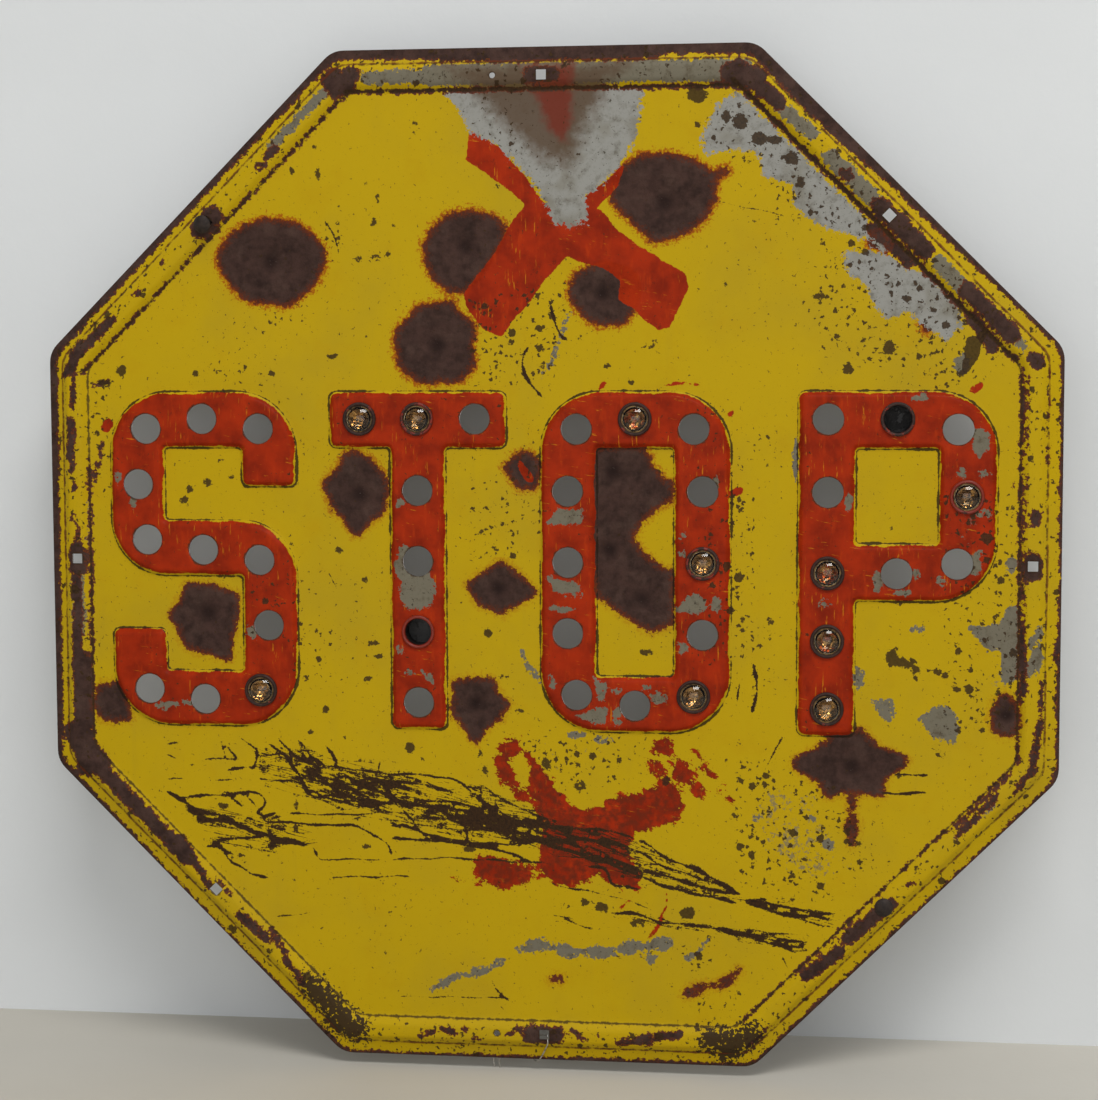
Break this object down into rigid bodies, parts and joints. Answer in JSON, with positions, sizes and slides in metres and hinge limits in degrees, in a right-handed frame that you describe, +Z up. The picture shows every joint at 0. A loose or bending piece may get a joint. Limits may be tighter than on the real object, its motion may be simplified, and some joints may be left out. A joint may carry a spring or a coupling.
{
  "type": "octagonal road sign",
  "caption": "Octagonal road sign pressed from sheet steel with a ribbed border, raised pierced letters, glass reflector buttons and post bolts.",
  "frame": {"origin": "centre of the octagon, on the back plane of the flat field", "axes": "+X to the right of someone who reads the sign, +Z up, the face looks towards -Y"},
  "size_m": [0.6096, 0.032, 0.6168],
  "materials": {
    "enamelled_sheet": "chipped and rusted paint, semi-gloss where sound",
    "housing_steel": "worn, partly overpainted",
    "case_brass": "tarnished",
    "lens_glass": "polished, slightly yellowed",
    "mirror_foil": "tarnished silvering",
    "spring_steel": "dull, rust-spotted",
    "rusted_fasteners": "dark rust",
    "tinned_wire": "bright, slightly dull"
  },
  "bodies": {
    "sign": {"carriage_bolt_lower_right": "rusted_fasteners", "case_o_bottom_right": "case_brass", "case_o_right_middle": "case_brass", "case_o_top": "case_brass", "case_p_foot": "case_brass", "case_p_left_lower": "case_brass", "case_p_left_middle": "case_brass", "case_p_right": "case_brass", "case_s_bottom_right": "case_brass", "case_t_bar_left": "case_brass", "case_t_bar_middle": "case_brass", "housing_o_bottom_right": "housing_steel", "housing_o_right_middle": "housing_steel", "housing_o_top": "housing_steel", "housing_p_foot": "housing_steel", "housing_p_left_lower": "housing_steel", "housing_p_left_middle": "housing_steel", "housing_p_right": "housing_steel", "housing_p_top": "housing_steel", "housing_s_bottom_right": "housing_steel", "housing_t_bar_left": "housing_steel", "housing_t_bar_middle": "housing_steel", "housing_t_stem_lower": "housing_steel", "lens_o_bottom_right": "lens_glass", "lens_o_right_middle": "lens_glass", "lens_o_top": "lens_glass", "lens_p_foot": "lens_glass", "lens_p_left_lower": "lens_glass", "lens_p_left_middle": "lens_glass", "lens_p_right": "lens_glass", "lens_s_bottom_right": "lens_glass", "lens_t_bar_left": "lens_glass", "lens_t_bar_middle": "lens_glass", "mirror_o_bottom_right": "mirror_foil", "mirror_o_right_middle": "mirror_foil", "mirror_o_top": "mirror_foil", "mirror_p_foot": "mirror_foil", "mirror_p_left_lower": "mirror_foil", "mirror_p_left_middle": "mirror_foil", "mirror_p_right": "mirror_foil", "mirror_s_bottom_right": "mirror_foil", "mirror_t_bar_left": "mirror_foil", "mirror_t_bar_middle": "mirror_foil", "nut_lower_right": "rusted_fasteners", "retaining_rings": "spring_steel", "sign_panel": "enamelled_sheet", "tag_wire": "tinned_wire", "washer_lower_right": "rusted_fasteners"},
    "loose_bolt": {"carriage_bolt_upper_left": "rusted_fasteners", "nut_upper_left": "rusted_fasteners", "washer_upper_left": "rusted_fasteners"}
  },
  "joints": [
    {"name": "loose_bolt_slide", "type": "slide", "parent": "sign", "child": "loose_bolt", "axis": [-0.183, -0.9659, -0.183], "range_m": [-0.0007, 0.005]}
  ]
}
